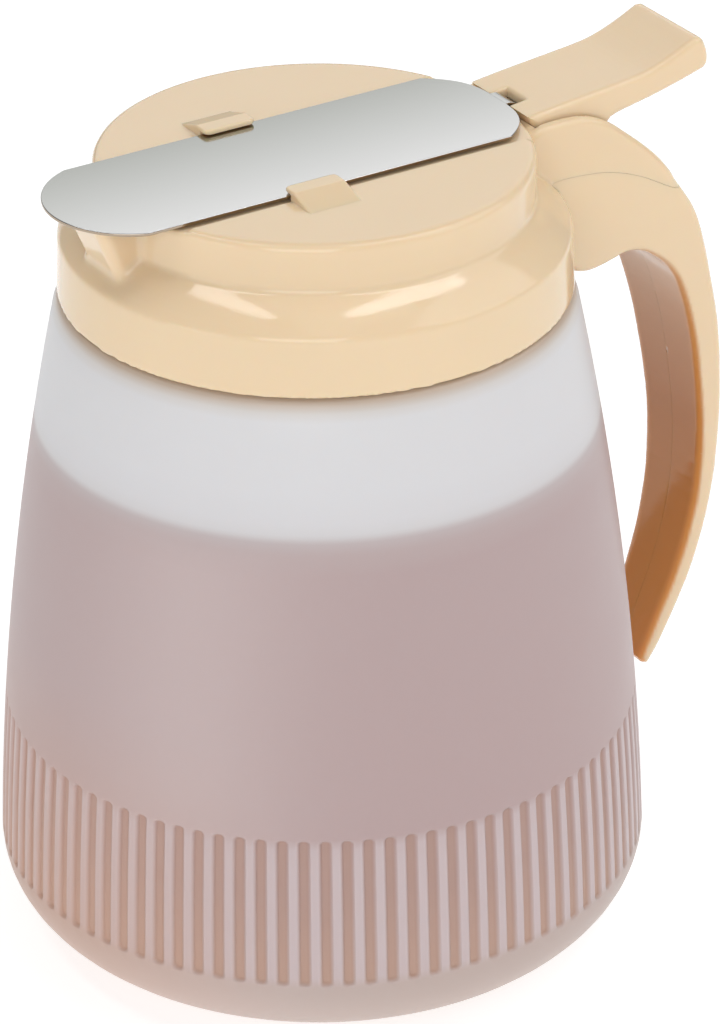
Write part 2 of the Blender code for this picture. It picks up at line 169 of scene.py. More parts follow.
def rounded_meet(a, b, radius):
    """Common part of two fields, with its convex edge rounded."""
    a, b = a + radius, b + radius
    return np.minimum(np.maximum(a, b), 0.0) + np.hypot(np.maximum(a, 0.0), np.maximum(b, 0.0)) - radius


def smooth_join(a, b, radius):
    """Union of two fields with a soft fillet in the corner between them."""
    overlap = np.maximum(radius - np.abs(a - b), 0.0) / radius
    return np.minimum(a, b) - overlap * overlap * radius / 4


def smooth_cut(a, b, radius):
    """First field with the second taken out of it."""
    return -smooth_join(-a, b, radius)


def round_corners(corners, steps=5):
    """Closed outline through (u, v, radius) corners, each drawn as an arc."""
    outline = []
    for i, (u, v, radius) in enumerate(corners):
        here = Vector((u, v))
        back = (Vector(corners[i - 1][:2]) - here).normalized()
        ahead = (Vector(corners[(i + 1) % len(corners)][:2]) - here).normalized()
        if radius == 0.0:
            outline.append((u, v))
            continue
        bisector = (back + ahead).normalized()
        half_angle = back.angle(ahead) / 2
        centre = here + bisector * (radius / sin(half_angle))
        reach = radius * cos(half_angle) / sin(half_angle)
        start = here + back * reach - centre
        end = here + ahead * reach - centre
        for k in range(steps + 1):
            arm = start.slerp(end, k / steps).normalized()
            outline.append(tuple(centre + arm * radius))
    return outline


def smooth_curve(points, steps):
    """Catmull-Rom curve through the points, with the given number of steps per span."""
    knots = [Vector(p) for p in points]
    knots = [2 * knots[0] - knots[1]] + knots + [2 * knots[-1] - knots[-2]]
    curve = []
    for i in range(1, len(knots) - 2):
        a, b, c, d = knots[i - 1:i + 3]
        for step in range(steps):
            t = step / steps
            curve.append(0.5 * (2 * b + (c - a) * t + (2 * a - 5 * b + 4 * c - d) * t * t
                                + (3 * b - a - 3 * c + d) * t ** 3))
    curve.append(knots[-2])
    return [tuple(p) for p in curve]


def slope_of(field, points):
    """Unit gradient of the field at an (n, 3) array of points."""
    nudge = 0.01
    slope = np.empty_like(points)
    for axis in range(3):
        step = np.zeros(3)
        step[axis] = nudge
        slope[:, axis] = field(*(points + step).T) - field(*(points - step).T)
    return slope / np.maximum(np.linalg.norm(slope, axis=1, keepdims=True), 1e-9)


def crossings(field, inside, axes, axis):
    """Grid edges along one axis that pass through the surface: their cells, points and sense."""
    change = np.diff(inside.astype(np.int8), axis=axis)
    where = np.argwhere(change != 0)
    sense = change[tuple(where.T)]
    near = np.stack([axes[k][where[:, k]] for k in range(3)], axis=1)
    far = near.copy()
    far[:, axis] = axes[axis][where[:, axis] + 1]
    far_value = field(*far.T)
    for _ in range(7):
        middle = (near + far) / 2
        value = field(*middle.T)
        same = (value < 0) == (far_value < 0)
        far[same] = middle[same]
        near[~same] = middle[~same]
    return where, (near + far) / 2, sense


def skin(name, field, low, high, cell):
    """Mesh of the field's zero surface by dual contouring, which keeps crisp edges crisp."""
    axes = [np.arange(a - 1.5 * cell, b + 1.6 * cell, cell) for a, b in zip(low, high)]
    shape = tuple(len(a) for a in axes)
    inside = np.broadcast_to(field(*np.ix_(*axes)), shape) < 0
    cells = tuple(n - 1 for n in shape)
    corner_sum = sum(inside[i:i + cells[0], j:j + cells[1], k:k + cells[2]].astype(np.int8)
                     for i in (0, 1) for j in (0, 1) for k in (0, 1))
    active = (corner_sum > 0) & (corner_sum < 8)
    number = np.full(cells, -1)
    number[active] = np.arange(active.sum())
    total = int(active.sum())
    sums = np.zeros((total, 13))
    quads = []
    for axis in range(3):
        where, points, sense = crossings(field, inside, axes, axis)
        normals = slope_of(field, points)
        flat = (normals * points).sum(axis=1, keepdims=True)
        rows = np.hstack([points, np.ones((len(points), 1)), normals * flat,
                          normals * normals, normals * np.roll(normals, -1, axis=1)])
        a, b = np.eye(3, dtype=int)[(axis + 1) % 3], np.eye(3, dtype=int)[(axis + 2) % 3]
        around = [number[tuple((where - shift).T)] for shift in (0 * a, a, a + b, b)]
        for owner in around:
            for column in range(13):
                sums[:, column] += np.bincount(owner, rows[:, column], total)
        quad = np.stack(around, axis=1)
        quad[sense > 0] = quad[sense > 0][:, ::-1]
        quads.append(quad)
    vertices = sharpest_points(sums)
    corner = np.stack([axes[k][np.argwhere(active)[:, k]] for k in range(3)], axis=1)
    vertices = np.clip(vertices, corner, corner + cell)
    mesh = bpy.data.meshes.new(name)
    mesh.from_pydata((vertices * MM).tolist(), [], np.vstack(quads).tolist())
    mesh.update()
    mesh.shade_smooth()
    mesh.set_sharp_from_angle(angle=radians(SKIN_SMOOTH))
    return link(name, mesh)


def sharpest_points(sums):
    """Point of each cell that fits the surface's tangent planes best, held near their mean."""
    mean = sums[:, :3] / sums[:, 3:4]
    xx, yy, zz = sums[:, 7], sums[:, 8], sums[:, 9]
    xy, yz, zx = sums[:, 10], sums[:, 11], sums[:, 12]
    hold = 0.04
    normal_matrix = np.stack([xx + hold, xy, zx, xy, yy + hold, yz, zx, yz, zz + hold], axis=1)
    normal_matrix = normal_matrix.reshape(-1, 3, 3)
    target = sums[:, 4:7] + hold * mean
    return np.linalg.solve(normal_matrix, target[:, :, None])[:, :, 0]


def link(name, data):
    """New object in the scene."""
    item = bpy.data.objects.new(name, data)
    bpy.context.scene.collection.objects.link(item)
    return item


def finish_piece(item, body, slot, material, *replaced):
    """Give a piece its material and body, and hide the CAD nodes that it replaces; the slot argument is not
    used.
    """
    item.data.materials.clear()
    item.data.materials.append(material)
    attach(item, body)
    if replaced:
        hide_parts(*replaced)
    return item


# ---------------------------------------------------------------- materials

def new_material(name):
    """Material with its node tree and shader node."""
    material = bpy.data.materials.new(name)
    material.use_nodes = True
    tree = material.node_tree
    return material, tree, tree.nodes["Principled BSDF"]


def colour_mix(tree, factor, first, second):
    """Mix node between two colours; each argument is a socket or a plain value."""
    node = tree.nodes.new("ShaderNodeMix")
    node.data_type = "RGBA"
    for socket, value in ((node.inputs[0], factor), (node.inputs[6], first), (node.inputs[7], second)):
        if isinstance(value, bpy.types.NodeSocket):
            tree.links.new(value, socket)
        else:
            socket.default_value = value
    return node.outputs[2]


def noise(tree, scale, detail=2.0, stretch=(1.0, 1.0, 1.0)):
    """Noise in the piece's own coordinates; scale is in features per metre."""
    coordinates = tree.nodes.new("ShaderNodeTexCoord")
    mapping = tree.nodes.new("ShaderNodeMapping")
    mapping.inputs["Scale"].default_value = stretch
    texture = tree.nodes.new("ShaderNodeTexNoise")
    texture.inputs["Scale"].default_value = scale
    texture.inputs["Detail"].default_value = detail
    tree.links.new(coordinates.outputs["Object"], mapping.inputs["Vector"])
    tree.links.new(mapping.outputs["Vector"], texture.inputs["Vector"])
    return texture.outputs["Fac"]


def ramp(tree, factor, stops):
    """Colour ramp over the factor, with (position, colour) stops."""
    node = tree.nodes.new("ShaderNodeValToRGB")
    elements = node.color_ramp.elements
    while len(elements) < len(stops):
        elements.new(0.5)
    for element, (position, colour) in zip(elements, stops):
        element.position = position
        element.color = (*colour, 1.0)
    tree.links.new(factor, node.inputs["Fac"])
    return node.outputs["Color"]


def grey_range(tree, factor, low, high):
    """Factor from 0 to 1 stretched to run from low to high."""
    node = tree.nodes.new("ShaderNodeMapRange")
    node.inputs["To Min"].default_value = low
    node.inputs["To Max"].default_value = high
    tree.links.new(factor, node.inputs["Value"])
    return node.outputs["Result"]


def add_bump(tree, shader, height, distance, strength=1.0):
    """Fine relief from a height socket; distance is in metres."""
    bump = tree.nodes.new("ShaderNodeBump")
    bump.inputs["Distance"].default_value = distance
    bump.inputs["Strength"].default_value = strength
    tree.links.new(height, bump.inputs["Height"])
    tree.links.new(bump.outputs["Normal"], shader.inputs["Normal"])


def attribute(tree, name):
    """Value of a mesh attribute that a mark function has written."""
    node = tree.nodes.new("ShaderNodeAttribute")
    node.attribute_name = name
    return node.outputs["Fac"]


def cream_material():
    """Moulded cream plastic; painted shade, brown turning amber towards the tip, and a painted glow of
    light through the edges colour the handle's inner face.
    """
    material, tree, shader = new_material("cream_plastic")
    cream, lighter = (0.80, 0.615, 0.40, 1.0), (0.82, 0.635, 0.42, 1.0)
    # brown and orange are painted shade on the handle's inner face, where it turns towards the jar
    brown, orange = (0.47, 0.155, 0.005, 1.0), (0.76, 0.34, 0.10, 1.0)
    # glow is painted light shining through the handle's thin edges
    glow = (0.84, 0.40, 0.13, 1.0)
    inner_shade_colour = colour_mix(tree, attribute(tree, "painted_shade_amber"), brown, orange)
    body = colour_mix(tree, noise(tree, 38.0), cream, lighter)
    shaded = colour_mix(tree, attribute(tree, "painted_inner_shade"), body, inner_shade_colour)
    edged = colour_mix(tree, attribute(tree, "painted_edge_glow"), shaded, glow)
    tree.links.new(edged, shader.inputs["Base Color"])
    tree.links.new(grey_range(tree, noise(tree, 160.0, 4.0), 0.07, 0.11), shader.inputs["Roughness"])
    shader.inputs["IOR"].default_value = 1.47
    shader.inputs["Subsurface Weight"].default_value = 0.22
    shader.inputs["Subsurface Radius"].default_value = (1.0, 0.5, 0.22)
    shader.inputs["Subsurface Scale"].default_value = 0.003
    add_bump(tree, shader, noise(tree, 900.0, 3.0), 0.00002, 0.5)
    return material


def jar_stops():
    """Colours up the jar: syrup, filling line, empty part, shade under the skirt, neck."""
    level = SYRUP_LEVEL / JAR_TOP
    neck = (SHOULDER_Z + 0.4) / JAR_TOP
    syrup = [(0.0, (0.52, 0.34, 0.24)), (0.02, (0.52, 0.41, 0.36)), (0.10, (0.50, 0.405, 0.365)),
             (0.30, (0.455, 0.338, 0.33)), (level - 0.05, (0.455, 0.35, 0.345)),
             (level - 0.02, (0.47, 0.38, 0.375)), (level - 0.0045, (0.50, 0.44, 0.44))]
    empty = [(level + 0.0045, (0.63, 0.62, 0.625)), (level + 0.02, (0.66, 0.655, 0.67)),
             (level + 0.06, (0.68, 0.68, 0.695)), (0.907, (0.69, 0.69, 0.70))]
    shade = [(0.918, (0.655, 0.63, 0.605)), (0.931, (0.52, 0.42, 0.33)), (neck, (0.52, 0.42, 0.33))]
    return syrup + empty + shade + [(neck + 0.004, (0.64, 0.62, 0.60)), (1.0, (0.66, 0.65, 0.65))]


def jar_material():
    """Frosted polyethylene with syrup behind it up to the filling level."""
    material, tree, shader = new_material("frosted_polyethylene")
    split = split_axes(tree, "TexCoord", "Object")
    height = tree.nodes.new("ShaderNodeMapRange")
    height.inputs["From Max"].default_value = JAR_TOP * MM
    tree.links.new(split.outputs["Z"], height.inputs["Value"])
    wall = ramp(tree, height.outputs["Result"], jar_stops())
    patches = grey_range(tree, noise(tree, 9.0, 1.0, (1.0, 1.0, 0.35)), 0.0, 0.10)
    mottled = colour_mix(tree, patches, wall, (0.496, 0.32, 0.336, 1.0))
    # Painted light: a paler upright band on the syrup
    syrup_with_light = colour_mix(tree, attribute(tree, "painted_syrup_light"), mottled, (0.62, 0.52, 0.51, 1.0))
    # Painted light on the ribs between the grooves
    ribs = colour_mix(tree, attribute(tree, "rib"), syrup_with_light, (0.545, 0.45, 0.455, 1.0))
    low_down = tree.nodes.new("ShaderNodeMapRange")
    low_down.inputs["From Min"].default_value = 40.0 * MM
    low_down.inputs["From Max"].default_value = 20.0 * MM
    tree.links.new(split.outputs["Z"], low_down.inputs["Value"])
    # Painted shade on the grooves' floors, a little paler low down
    groove_shade_colour = colour_mix(tree, low_down.outputs["Result"],
                              (0.45, 0.29, 0.245, 1.0), (0.50, 0.32, 0.25, 1.0))
    grooves = colour_mix(tree, attribute(tree, "groove"), ribs, groove_shade_colour)
    # Painted light: a warm glow low on the syrup's left side
    syrup_with_glow = colour_mix(tree, attribute(tree, "painted_warm_glow"), grooves, (0.56, 0.33, 0.235, 1.0))
    tree.links.new(syrup_with_glow, shader.inputs["Base Color"])
    tree.links.new(grey_range(tree, noise(tree, 60.0, 3.0), 0.36, 0.46), shader.inputs["Roughness"])
    shader.inputs["IOR"].default_value = 1.5
    shader.inputs["Subsurface Weight"].default_value = 0.35
    shader.inputs["Subsurface Radius"].default_value = (1.0, 0.8, 0.7)
    shader.inputs["Subsurface Scale"].default_value = 0.003
    add_bump(tree, shader, noise(tree, 420.0, 3.0), 0.00003, 0.5)
    return material


def split_axes(tree, node_kind, output):
    """Separate node fed by one output of a new coordinate or geometry node."""
    source = tree.nodes.new("ShaderNode" + node_kind)
    split = tree.nodes.new("ShaderNodeSeparateXYZ")
    tree.links.new(source.outputs[output], split.inputs["Vector"])
    return split


def steel_material(name, roughness_low, roughness_high, width=0.0):
    """Polished stainless; a sheet with a width gets a painted reflection that darkens across it and a
    painted warm shade on its side faces.
    """
    material, tree, shader = new_material(name)
    grain = noise(tree, 90.0, 6.0, (1.0, 60.0, 60.0))
    metal = colour_mix(tree, grain, (0.64, 0.64, 0.635, 1.0), (0.67, 0.67, 0.665, 1.0))
    if width:
        # Painted reflection: the sheet darkens from its -Y edge to its +Y edge
        across = tree.nodes.new("ShaderNodeMapRange")
        across.inputs["From Min"].default_value = -width * MM
        across.inputs["From Max"].default_value = width * MM
        tree.links.new(split_axes(tree, "TexCoord", "Object").outputs["Y"], across.inputs["Value"])
        metal = colour_mix(tree, across.outputs["Result"], metal, (0.385, 0.395, 0.37, 1.0))
        # Painted warm shade on faces that turn away from up, the sheet's side edges
        upward = tree.nodes.new("ShaderNodeMapRange")
        upward.inputs["From Min"].default_value = 0.75
        upward.inputs["From Max"].default_value = 0.35
        tree.links.new(split_axes(tree, "NewGeometry", "Normal").outputs["Z"], upward.inputs["Value"])
        metal = colour_mix(tree, upward.outputs["Result"], metal, (0.42, 0.34, 0.26, 1.0))
    tree.links.new(metal, shader.inputs["Base Color"])
    tree.links.new(grey_range(tree, grain, roughness_low, roughness_high), shader.inputs["Roughness"])
    shader.inputs["Metallic"].default_value = 1.0
    add_bump(tree, shader, grain, 0.000004, 0.3)
    return material


def rubber_material():
    """Milky silicone of the seal."""
    material, tree, shader = new_material("silicone")
    milky = colour_mix(tree, noise(tree, 200.0), (0.74, 0.73, 0.70, 1.0), (0.79, 0.78, 0.75, 1.0))
    tree.links.new(milky, shader.inputs["Base Color"])
    shader.inputs["Roughness"].default_value = 0.6
    add_bump(tree, shader, noise(tree, 1500.0), 0.00002)
    return material


# ---------------------------------------------------------------- turned pieces

def bridge(builder, first, second):
    """Faces between two rings; the longer ring has a whole multiple of the shorter one's points."""
    few, many = sorted((first, second), key=len)
    if len(few) == 1:
        for i in range(len(many)):
            builder.faces.new((few[0], many[i], many[(i + 1) % len(many)]))
        return
    ratio = len(many) // len(few)
    for i in range(len(few)):
        arc = [many[(i * ratio + k) % len(many)] for k in range(ratio, -1, -1)]
        builder.faces.new([few[i], few[(i + 1) % len(few)]] + arc)


def turned(name, rows, reach=None):
    """Solid of (radius, z, columns) rows about Z; reach(radius, angle, z) may change a radius."""
    builder = bmesh.new()
    rings = []
    for radius, z, columns in rows:
        if radius == 0.0:
            rings.append([builder.verts.new((0.0, 0.0, z * MM))])
            continue
        ring = []
        for i in range(columns):
            turn = 2 * pi * i / columns
            r = reach(radius, turn, z) if reach else radius
            ring.append(builder.verts.new((r * cos(turn) * MM, r * sin(turn) * MM, z * MM)))
        rings.append(ring)
    for first, second in zip(rings, rings[1:]):
        if len(first) > 1 or len(second) > 1:
            bridge(builder, first, second)
    if rows[0][0] != 0.0:
        bridge(builder, rings[-1], rings[0])
    bmesh.ops.recalc_face_normals(builder, faces=builder.faces)
    mesh = bpy.data.meshes.new(name)
    builder.to_mesh(mesh)
    builder.free()
    mesh.shade_smooth()
    mesh.set_sharp_from_angle(angle=radians(TURNED_SMOOTH))
    return link(name, mesh)


# ---------------------------------------------------------------- jar

def wall_radius(z):
    """Outer radius of the jar's slightly curved, tapering wall."""
    depth = SHOULDER_Z - z
    return SHOULDER_RADIUS + WALL_SLOPE * depth - WALL_BEND * depth * depth


def base_corner(inset, steps):
    """Elliptic corner from the flat base up into the wall, moved inwards by the inset."""
    width = wall_radius(BASE_CORNER) - BASE_RADIUS
    rows = []
    for i in range(1, steps):
        angle = 0.5 * pi * i / steps
        rows.append((BASE_RADIUS + (width - inset) * sin(angle),
                     BASE_CORNER - (BASE_CORNER - inset) * cos(angle)))
    return rows


def groove_share(turn, z):
    """0 on the jar's smooth wall and on the ribs, 1 on the floor of a groove."""
    pitch = 2 * pi / RIB_COUNT
    across = abs((turn / pitch - GROOVE_START) % 1.0 - 0.5) * pitch * wall_radius(z)
    along = abs(z - (GROOVE_TOP + BASE_CORNER) / 2)
    half_length = (GROOVE_TOP - BASE_CORNER) / 2
    out_across = max(across - GROOVE_HALF_WIDTH + GROOVE_CORNER, 0.0)
    out_along = max(along - half_length + GROOVE_CORNER, 0.0)
    depth = GROOVE_CORNER - (out_across ** 2 + out_along ** 2) ** 0.5
    share = min(max(depth / 0.85, 0.0), 1.0)
    return share * share * (3 - 2 * share)


def groove_rows():
    """Heights of the grooved band, close together at the grooves' round ends."""
    ends = [0.12, 0.25, 0.4, 0.6, 0.85, 1.15, 1.6, 2.2]
    heights = [BASE_CORNER + d for d in ends]
    heights += [BASE_CORNER + 2.2 + (GROOVE_TOP - BASE_CORNER - 4.4) * i / 6 for i in range(1, 6)]
    heights += [GROOVE_TOP - d for d in reversed(ends)]
    return heights


def make_jar_wall(material):
    """Wall with its recessed base, grooved band, shoulder and inner face; fine rows hold the grooves."""
    plain, fine = JAR_COLUMNS, 12 * RIB_COUNT
    rows = [(0.0, 0.0, 1), (15.0, 0.0, plain), (15.6, 0.1, plain), (16.6, 0.7, plain), (17.2, 0.8, plain),
            (36.0, 0.8, plain), (36.6, 0.7, plain), (37.6, 0.1, plain), (38.2, 0.0, plain),
            (BASE_RADIUS - 1.0, 0.0, plain), (BASE_RADIUS, 0.0, plain)]
    rows += [(r, z, plain) for r, z in base_corner(0.0, 14)]
    rows.append((wall_radius(BASE_CORNER), BASE_CORNER, fine))
    rows += [(wall_radius(z), z, fine) for z in groove_rows()]
    rows.append((wall_radius(GROOVE_TOP), GROOVE_TOP, fine))
    rows += [(wall_radius(z), z, plain) for z in np.linspace(56.0, 143.0, 22)]
    rows += [(53.85, 144.4, plain), (53.6, 145.5, plain), (53.1, 146.3, plain), (52.3, 146.8, plain),
             (51.4, 147.0, plain), (50.0, 147.0, plain), (NECK_BORE + 0.2, 147.0, plain),
             (NECK_BORE + 0.2, 145.6, plain), (50.4, 144.6, plain)]
    rows += [(wall_radius(z) - JAR_WALL, z, plain) for z in (143.0, 130.0, 110.0, 90.0, 70.0, 50.0, 34.0)]
    rows.append((wall_radius(BASE_CORNER) - JAR_WALL, BASE_CORNER, plain))
    rows += [(r, z, plain) for r, z in reversed(base_corner(JAR_WALL, 8))]
    rows += [(BASE_RADIUS - 4.0, FLOOR, plain), (0.0, FLOOR, 1)]

    def reach(radius, turn, z):
        outside = radius > wall_radius(z) - 0.5
        if outside and BASE_CORNER < z < GROOVE_TOP:
            return radius - GROOVE_DEPTH * groove_share(turn, z)
        return radius

    jar = turned("jar_wall", rows, reach)
    mark_grooves(jar)
    paint_syrup_light(jar)
    return finish_piece(jar, "jar", "jar_plastic", material)


def mark_grooves(jar):
    """Attributes groove (0 to 1 in depth) for a painted shade in the grooves, and rib (the bars between
    grooves) for painted light on the ribs.
    """
    groove = jar.data.attributes.new("groove", "FLOAT", "POINT")
    rib = jar.data.attributes.new("rib", "FLOAT", "POINT")
    for i, vertex in enumerate(jar.data.vertices):
        x, y, z = vertex.co / MM
        if not BASE_CORNER < z < GROOVE_TOP or (x * x + y * y) ** 0.5 < wall_radius(z) - 1.4:
            continue
        share = groove_share(np.arctan2(y, x) % (2 * pi), z)
        ends = min(z - BASE_CORNER, GROOVE_TOP - z) / 2.5
        # Painted shade grows with the groove's depth; painted light on the ribs between
        groove.data[i].value = share ** 1.6
        rib.data[i].value = min(max(ends, 0.0), 1.0) * (1.0 - share)


def paint_syrup_light(jar):
    """Attributes of painted light on the syrup: a paler upright band on the side towards the view's left,
    and a warm glow low on that side.
    """
    painted_syrup_light = jar.data.attributes.new("painted_syrup_light", "FLOAT", "POINT")
    painted_warm_glow = jar.data.attributes.new("painted_warm_glow", "FLOAT", "POINT")
    for i, vertex in enumerate(jar.data.vertices):
        x, y, z = vertex.co / MM
        radius = max((x * x + y * y) ** 0.5, 1.0)
        across = (ACROSS_VIEW[0] * x + ACROSS_VIEW[1] * y) / radius
        # Painted light, placed by the side that faces the view's left
        band = np.exp(-((across + 0.42) / 0.32) ** 2)
        in_syrup = np.interp(z, [30.0, 60.0, 112.0, 118.0], [0.5, 1.0, 1.0, 0.0])
        low_down = np.interp(z, [18.0, 45.0, 75.0], [1.0, 0.6, 0.0])
        to_the_side = np.interp(across, [-0.8, -0.1], [1.0, 0.0])
        painted_syrup_light.data[i].value = 0.42 * float(band * in_syrup)
        painted_warm_glow.data[i].value = 0.55 * float(low_down * to_the_side)


def thread_height(turn, z, bottom, start, sweep):
    """How far a helical ridge stands out at this angle and height, from 0 to 1."""
    past = (turn - start) % (2 * pi)
    height = 0.0
    while past < sweep:
        offset = abs(z - bottom - THREAD_LEAD * past / (2 * pi))
        ends = min(past, sweep - past) / 0.35
        height = max(height, min(max((0.95 - offset) / 0.5, 0.0), 1.0) * min(ends, 1.0))
        past += 2 * pi
    return height


def make_jar_neck(material):
    """Neck with its external thread and a rounded rim."""
    top = JAR_TOP
    outside = [(NECK_RADIUS, z) for z in np.linspace(146.5, top - 0.9, 30)]
    rim = [(NECK_RADIUS - 0.15, top - 0.4), (NECK_RADIUS - 0.5, top - 0.08), (NECK_RADIUS - 0.9, top),
           (NECK_BORE + 0.6, top), (NECK_BORE + 0.15, top - 0.2), (NECK_BORE, top - 0.6),
           (NECK_BORE, 146.5)]
    rows = [(radius, z, JAR_COLUMNS) for radius, z in outside + rim]

    def reach(radius, turn, z):
        if radius < NECK_RADIUS:
            return radius
        return radius + THREAD_HEIGHT * thread_height(turn, z, THREAD_BOTTOM, 0.0, radians(405.0))

    neck = turned("jar_neck", rows, reach)
    return finish_piece(neck, "jar", "jar_plastic", material, "jar")


# ---------------------------------------------------------------- outlines, as (x, z) or (radius, z)

HANDLE_BACK = [(81.0, 154.7), (82.9, 152.0), (85.7, 147.6), (88.4, 141.2), (91.8, 128.7), (94.6, 116.1),
               (96.3, 102.0), (96.8, 90.5), (96.2, 77.0), (94.3, 64.4), (90.9, 52.4), (85.1, 38.6),
               (82.3, 33.2)]
HANDLE_TIP = [(81.9, 32.6), (81.2, 32.5), (80.3, 32.9)]
HANDLE_INSIDE = [(79.4, 34.4), (81.8, 41.4), (87.0, 54.9), (90.0, 66.2), (91.5, 77.0), (91.5, 89.5),
                 (90.3, 100.5), (88.2, 112.8), (85.8, 122.2), (83.2, 129.4), (81.4, 132.6), (79.2, 135.4),
                 (76.2, 138.0), (72.6, 140.2), (68.7, 140.8), (63.6, 139.5), (59.6, 138.9), (56.3, 139.5),
                 (54.2, 140.9)]
HOUSING_TOP = [(42.0, 172.5), (44.8, 174.5), (48.0, 175.3), (54.0, 175.3), (58.5, 174.6), (63.4, 172.3),
               (68.0, 168.7), (72.5, 164.9), (76.4, 161.1), (79.4, 157.4), (81.0, 154.7)]
HOUSING_FRONT = [(50.0, 143.0), (44.0, 164.2)]
JOINT_LINE = [(45.0, 162.0), (49.8, 162.3), (53.3, 162.4), (60.9, 161.7), (66.0, 160.4), (71.1, 158.4),
              (75.0, 156.3), (79.2, 153.9), (82.0, 153.0), (86.0, 152.4)]
LEVER_SLOT = [(45.9, 190.0), (45.9, 168.2), (47.2, 166.8), (53.2, 160.8), (54.0, 158.0), (77.6, 158.0),
              (77.6, 190.0)]
HINGE_TAB = [(51.4, 148.0), (55.4, 148.0), (57.4, 145.4), (63.0, 145.4), (66.0, 148.0), (66.6, 152.0),
             (64.6, 156.0), (61.0, 157.6), (56.0, 157.6), (51.4, 157.0)]
HOLLOW = [(-5.0, 100.0), (SKIRT_BORE, 100.0), (SKIRT_BORE, LID_SEAT), (DISC_BORE, LID_SEAT),
          (DISC_BORE, DISC_CEILING), (-5.0, DISC_CEILING)]
CHANNEL = [(-52.4, 182.0), (-52.4, 173.6), (-48.0, 169.8), (-42.5, 167.2), (-36.0, 167.2), (-36.0, 182.0)]


def lid_profile(grow=0.0):
    """Section of the lid's round body, from the disc's centre down to the skirt and back inside."""
    return round_corners([
        (-5.0, DISC_TOP, 0.0), (DISC_RADIUS + grow, DISC_TOP, 1.7), (DISC_RADIUS + grow, DISC_BOTTOM, 1.6),
        (49.35 + grow, 163.5 + grow, 36.0), (SKIRT_RADIUS - 0.6 + grow, SKIRT_TOP - 0.3, 1.9),
        (SKIRT_RADIUS + grow, SKIRT_BOTTOM, 0.7), (SKIRT_BORE, SKIRT_BOTTOM, 0.6),
        (SKIRT_BORE, LID_SEAT, 0.3), (DISC_BORE, LID_SEAT, 0.4),
        (DISC_BORE, DISC_CEILING, 1.0), (-5.0, DISC_CEILING, 0.0)])


def combined_outline():
    """Side view of the housing and the handle together, as one outline."""
    back = smooth_curve(HOUSING_TOP[:-1] + HANDLE_BACK, 3)
    return back + HANDLE_TIP + smooth_curve(HANDLE_INSIDE, 3) + HOUSING_FRONT


def shoulder_clearance(gap=0.03):
    """Section that the handle leaves free for the lid's outside, which it follows at a small gap."""
    # The profile's first 25 points run from the disc's centre to the skirt's rounded top edge.
    outside = lid_profile(gap)[:25]
    return outside + [(SKIRT_RADIUS + gap, 120.0), (-5.0, 120.0)]


LID_PROFILE = lid_profile()
LID_CLEARANCE = shoulder_clearance()
GRIP_OUTLINE = combined_outline()
ABOVE_THE_JOINT = [(110.0, 140.0), (110.0, 200.0), (30.0, 200.0)]
JOINT_OUTLINE = [(30.0, 162.0)] + smooth_curve(JOINT_LINE, 3) + ABOVE_THE_JOINT


# ---------------------------------------------------------------- lid

def handle_half_width(z):
    """Half of the handle's width, which narrows from the root to the tip."""
    heights = [33.0, 38.6, 52.4, 64.4, 77.0, 90.5, 102.0, 116.1, 128.7, 141.2, 147.6]
    widths = [7.3, 7.9, 8.9, 9.6, 10.4, 11.0, 11.7, 12.6, 13.2, 13.8, HALF_WIDTH]
    return np.interp(z, heights, widths)


def grip_body(x, y, z):
    """Housing and handle as one soft bar with rounded long edges."""
    return rounded_meet(outline_distance(x, z, GRIP_OUTLINE), np.abs(y) - handle_half_width(z), 1.5)


def above_joint(x, z):
    """Distance to the region above the curved joint of housing and handle, negative inside it."""
    return outline_distance(x, z, JOINT_OUTLINE)


def pin_bore(x, z):
    """Round hole for the lever's pin."""
    return np.hypot(x - PIVOT[0], z - PIVOT[1]) - PIN_BORE


def beak(x, y, z):
    """Pouring beak that leans out towards the gate's nose and widens a little as it rises."""
    rise = np.clip((z - BEAK_FOOT) / (TRACK_FLOOR - BEAK_FOOT), 0.0, 1.0)
    front = -48.6 - 6.3 * rise
    half_width = 7.2 + 0.6 * rise
    # The front leans, so its distance in plan is scaled to a true one.
    walls = 0.93 * rounded_meet(front - x, np.abs(y) - half_width, 2.6)
    ends = np.maximum(z - TRACK_FLOOR, BEAK_FOOT - 1.0 - z)
    return np.maximum(np.maximum(walls, ends), x + 40.0)


def guide_post(x, y, z):
    """Block under each gate guide, a little smaller than the finer guide that covers it."""
    shrink = 0.15
    block = [(18.1, 173.0), (26.0, 173.0), (26.0, 176.2), (22.6, 177.3), (19.8, 178.0), (18.1, 178.0)]
    section = outline_distance(np.abs(y), z, block)
    return rounded_meet(section + shrink, np.abs(x + 10.5) - 5.8 + shrink, 0.6)


